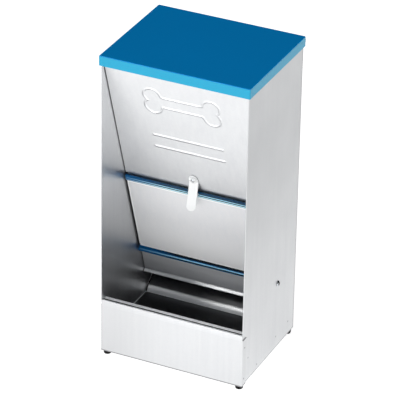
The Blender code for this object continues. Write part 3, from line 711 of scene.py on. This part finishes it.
def pressedHeight(x, z, plan):
    # the height of the pressing at a point of the front, all in millimetres
    height = ridge(boneDistance(x, z, plan), plan["lineHalf"])
    for ribZ in plan["ribHeights"]:
        beyond = max(0.0, abs(x - plan["boneCentre"][0]) - plan["ribHalfLength"])
        height = max(height, ridge(math.hypot(beyond, z - ribZ), plan["ribHalf"]))
    return height * plan["rise"]


def makePressedFront(plan):
    low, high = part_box("hopper_front_panel")
    topCorner = slopeFrame.inverted() @ Vector((0, low[1], high[2]))
    half, face, foot = plan["halfWidth"], plan["face"], plan["foot"]
    # the upright top starts where the slope meets the front of the box that the panel fills
    bendZ = (pivot.y + math.cos(frontLean) * face - low[1]) / math.sin(frontLean)
    bpy.ops.mesh.primitive_plane_add(size=1)
    panel = bpy.context.object
    editMode(panel)
    bpy.ops.mesh.select_all(action="SELECT")
    bpy.ops.transform.rotate(value=math.pi / 2, orient_axis="X", center_override=(0, 0, 0))
    bpy.ops.transform.resize(value=(2 * half, 1, 1))
    objectMode()
    for vertex in panel.data.vertices:
        vertex.co.z = (bendZ + foot) / 2 + vertex.co.z * (bendZ - foot)
        vertex.co.y = face
    left, right, bottom, top = (value * millimetre for value in plan["pressArea"])
    editMode(panel)
    for point, normal in (((left, face, 0), (1, 0, 0)), ((right, face, 0), (1, 0, 0)),
                          ((0, face, bottom), (0, 0, 1)), ((0, face, top), (0, 0, 1))):
        bpy.ops.mesh.select_all(action="SELECT")
        bpy.ops.mesh.bisect(plane_co=point, plane_no=normal)
    bpy.ops.mesh.select_mode(type="FACE")
    bpy.ops.mesh.select_all(action="DESELECT")
    pickWhere(panel, "FACE", lambda f: left < f.calc_center_median().x < right
              and bottom < f.calc_center_median().z < top)
    for cuts in plan["pressCuts"]:
        bpy.ops.mesh.subdivide(number_cuts=cuts)
    objectMode()
    for vertex in panel.data.vertices:
        x, z = vertex.co.x / millimetre, vertex.co.z / millimetre
        if left <= vertex.co.x <= right and bottom <= vertex.co.z <= top:
            vertex.co.y -= pressedHeight(x, z, plan) * millimetre
    return panel, bendZ, topCorner


def foldPressedFront(plan):
    panel, bendZ, topCorner = makePressedFront(plan)
    half, face, foot = plan["halfWidth"], plan["face"], plan["foot"]
    editMode(panel, "EDGE")
    pickEdgesAt(panel, z=foot)
    lipY, lipZ = plan["lip"]
    bpy.ops.mesh.extrude_region_move(TRANSFORM_OT_translate={"value": (0, lipY - face, lipZ - foot)})
    bpy.ops.mesh.select_all(action="DESELECT")
    pickEdgesAt(panel, z=bendZ)
    bpy.ops.mesh.extrude_region_move(
        TRANSFORM_OT_translate={"value": (0, topCorner.y - face, topCorner.z - bendZ)})
    bpy.ops.mesh.select_all(action="DESELECT")
    pickWhere(panel, "EDGE", lambda e: all(abs(abs(v.co.x) - half) < touching
              and foot - touching <= v.co.z <= bendZ + touching for v in e.verts))
    bpy.ops.mesh.extrude_region_move(TRANSFORM_OT_translate={"value": (0, plan["flange"], 0)})
    bpy.ops.mesh.select_all(action="DESELECT")
    pickEdgesAt(panel, y=face, z=foot)
    pickEdgesAt(panel, y=face, z=bendZ)
    bpy.ops.mesh.bevel(offset=plan["foldRadius"], segments=4, affect="EDGES")
    bpy.ops.mesh.select_all(action="DESELECT")
    pickWhere(panel, "EDGE", lambda e: len(e.link_faces) == 2 and all(
              abs(abs(v.co.x) - half) < touching and abs(v.co.y - face) < touching for v in e.verts))
    bpy.ops.mesh.bevel(offset=plan["sideRadius"], segments=3, affect="EDGES")
    bpy.ops.mesh.select_all(action="SELECT")
    bpy.ops.mesh.normals_make_consistent(inside=False)
    objectMode()
    outward = sum(p.area for p in panel.data.polygons if p.normal.y < -0.5)
    inward = sum(p.area for p in panel.data.polygons if p.normal.y > 0.5)
    if inward > outward:
        editMode(panel)
        bpy.ops.mesh.select_all(action="SELECT")
        bpy.ops.mesh.flip_normals()
        objectMode()
    wall = panel.modifiers.new("sheet", "SOLIDIFY")
    wall.thickness = plan["sheet"]
    wall.offset = -1
    wall.use_even_offset = True
    applyModifiers(panel)
    panel.matrix_world = slopeFrame
    settle(panel, "pressed_front", "cabinet", frontSteel, ["hopper_front_panel"])


foldPressedFront(pressedFront)
print("pressed front made")


# the trough's sheet, and the ramp whose rounded nose drops to the trough's floor

trough = {
    "halfWidth": 138.1 * millimetre,
    "sheet": 0.8 * millimetre,
    # y from the front of the tray's box and z, in millimetres, with the radius of each fold
    "profile": ((0.4, 104, 0), (0.4, 111.6, 1.6), (11.0, 111.6, 2.2), (11.0, 35.4, 3), (190, 35.4, 0)),
    "rim": 1.4 * millimetre,
}
ramp = {
    "halfWidth": 138.1 * millimetre,
    "sheet": 0.9 * millimetre,
    "profile": ((171.0, 36.9, 0), (175.6, 45.6, 20), (218.3, 73.4, 3), (218.3, 91.6, 0)),
}


def foldSheet(plan):
    # one leg of the profile is the primitive, each further leg is drawn out of its edge
    half = plan["halfWidth"]
    points = [Vector((0, trayFront + y * millimetre, z * millimetre)) for y, z, radius in plan["profile"]]
    bpy.ops.mesh.primitive_plane_add(size=1)
    sheet = bpy.context.object
    for vertex in sheet.data.vertices:
        place = points[0] if vertex.co.y < 0 else points[1]
        vertex.co = (math.copysign(half, vertex.co.x), place.y, place.z)
    editMode(sheet, "EDGE")
    for here, after in zip(points[1:], points[2:]):
        bpy.ops.mesh.select_all(action="DESELECT")
        pickEdgesAt(sheet, y=here.y, z=here.z)
        bpy.ops.mesh.extrude_region_move(TRANSFORM_OT_translate={"value": after - here})
    if "rim" in plan:
        # the floor's sides are turned up, one at a time so that the floor isn't selected
        for side in (-half, half):
            bpy.ops.mesh.select_all(action="DESELECT")
            pickEdgesAt(sheet, x=side, z=points[-1].z)
            bpy.ops.mesh.extrude_region_move(TRANSFORM_OT_translate={"value": (0, 0, plan["rim"])})
    for before, here, after, corner in zip(points, points[1:], points[2:], plan["profile"][1:]):
        turn = (here - before).angle(after - here)
        bpy.ops.mesh.select_all(action="DESELECT")
        pickEdgesAt(sheet, y=here.y, z=here.z)
        bpy.ops.mesh.bevel(offset=corner[2] * millimetre * math.tan(turn / 2), segments=6, affect="EDGES")
    objectMode()
    wall = sheet.modifiers.new("sheet", "SOLIDIFY")
    wall.thickness = plan["sheet"]
    wall.offset = 0
    wall.use_even_offset = True
    addBevel(sheet, 0.2 * millimetre, 2, sharperThan=50)
    applyModifiers(sheet)
    return sheet


rampSheet = foldSheet(ramp)
troughSheet = foldSheet(trough)
selectOnly(troughSheet)
rampSheet.select_set(True)
bpy.ops.object.join()
settle(troughSheet, "folded_tray", "cabinet", traySteel, ["feed_tray"])
print("trough and ramp made")


# softened sheet edges and turned parts, from merged copies of the construction's meshes

softEdges = {
    # the edge's width in millimetres, and the finish
    "lid": (1.0, lidPaint),
    "left_side_panel": (0.16, uprightSteel),
    "right_side_panel": (0.16, uprightSteel),
    "back_panel": (0.16, uprightSteel),
    "front_skirt": (0.16, skirtSteel),
    "flap_panel": (0.16, flapSteel),
    "flap_upper_trim": (0.15, upperEdgingPaintedLight),
    "flap_lower_trim": (0.15, lowerEdgingPaintedLight),
    "latch_mount": (0.3, latchNylon),
    "latch_tongue": (0.3, latchNylon),
    "pivot_spacer_left": (0.3, edgingPlastic),
    "pivot_spacer_right": (0.3, edgingPlastic),
    "pivot_cap_left": (0.2, shadedCapZinc),
    "pivot_cap_right": (0.2, shadedCapZinc),
    "latch_rivet": (0.2, fastenerZinc),
    "foot_front_left": (0.8, footRubber),
    "foot_front_right": (0.8, footRubber),
    "foot_rear_left": (0.8, footRubber),
    "foot_rear_right": (0.8, footRubber),
}
latch = {
    "narrowing": 0.88,
    "splay": math.radians(31),
    # how much of its width the tongue keeps at the very end
    "tipShare": 0.06,
}
latchRings = {
    # height up the slope and depth of the face, in millimetres
    "centre": 219.5,
    "face": 1.1,
    # outer radius, width and rise of each, in millimetres
    "rings": ((7.4, 1.2, 1.1), (5.0, 0.9, 1.6)),
    "edgeShare": 0.35,
}
slotFinishes = {
    "galvanised_steel": uprightSteel,
    "lid_enamel": lidPaint,
    "blue_edging": edgingPlastic,
    "white_nylon": latchNylon,
    "black_rubber": footRubber,
    "zinc_fastener": fastenerZinc,
}
slotOf = {part["node"]: part["material_slot"] for part in frame["record"]["subparts"]}
bodyOf = {node: body for body, nodes in frame["record"]["behaviour"]["bodies"].items() for node in nodes}


def roundTip(piece):
    # draws the tongue's end in to a half circle
    down = slopeFrame.to_3x3() @ Vector((0, -math.sin(latch["splay"]), -math.cos(latch["splay"])))
    end = max(v.co.dot(down) for v in piece.data.vertices)
    half = max(abs(v.co.x) for v in piece.data.vertices)
    for vertex in piece.data.vertices:
        left = min(end - vertex.co.dot(down), half)
        width = math.sqrt(half ** 2 - (half - left) ** 2)
        vertex.co.x = math.copysign(min(abs(vertex.co.x), max(width, latch["tipShare"] * half)), vertex.co.x)


def softenCopy(nodeName, width, material):
    piece = bpy.data.objects.new(nodeName + "_softened", frame["nodes"][nodeName].data.copy())
    bpy.context.scene.collection.objects.link(piece)
    editMode(piece)
    bpy.ops.mesh.select_all(action="SELECT")
    bpy.ops.mesh.remove_doubles(threshold=0.00001)
    bpy.ops.mesh.dissolve_limited(angle_limit=math.radians(0.6))
    if nodeName in ("latch_mount", "latch_tongue"):
        bpy.ops.mesh.select_all(action="SELECT")
        bpy.ops.transform.resize(value=(latch["narrowing"], 1, 1), center_override=(0, 0, 0))
    objectMode()
    if nodeName == "latch_tongue":
        roundTip(piece)
    addBevel(piece, width * millimetre, 2, sharperThan=40)
    applyModifiers(piece)
    settle(piece, nodeName + "_softened", bodyOf[nodeName], material, [nodeName])


for nodeName, (width, material) in softEdges.items():
    softenCopy(nodeName, width, material)


def makeLatchRing(number, radius, width, rise):
    # a raised ring of the latch's head, drawn out of a circle
    bpy.ops.mesh.primitive_circle_add(vertices=40, radius=radius * millimetre)
    ring = bpy.context.object
    editMode(ring)
    bpy.ops.mesh.select_all(action="SELECT")
    inner = 1 - width / radius
    bpy.ops.mesh.extrude_region_move()
    bpy.ops.transform.resize(value=(inner, inner, 1), center_override=(0, 0, 0))
    bpy.ops.mesh.select_all(action="SELECT")
    bpy.ops.mesh.extrude_region_move(TRANSFORM_OT_translate={"value": (0, 0, rise * millimetre)})
    bpy.ops.mesh.select_all(action="SELECT")
    bpy.ops.mesh.normals_make_consistent(inside=False)
    objectMode()
    addBevel(ring, width * latchRings["edgeShare"] * millimetre, 3, sharperThan=50)
    applyModifiers(ring)
    middle = Vector((0, latchRings["face"], latchRings["centre"])) * millimetre
    ring.matrix_world = slopeFrame @ Matrix.Translation(middle) @ Matrix.Rotation(math.pi / 2, 4, "X")
    settle(ring, f"latch_ring_{number}", bodyOf["latch_mount"], latchNylon)


for number, (radius, width, rise) in enumerate(latchRings["rings"], 1):
    makeLatchRing(number, radius, width, rise)
print("edges softened")

for nodeName, node in frame["nodes"].items():
    node.data.materials.clear()
    node.data.materials.append(slotFinishes[slotOf[nodeName]])
print("finishes laid on")
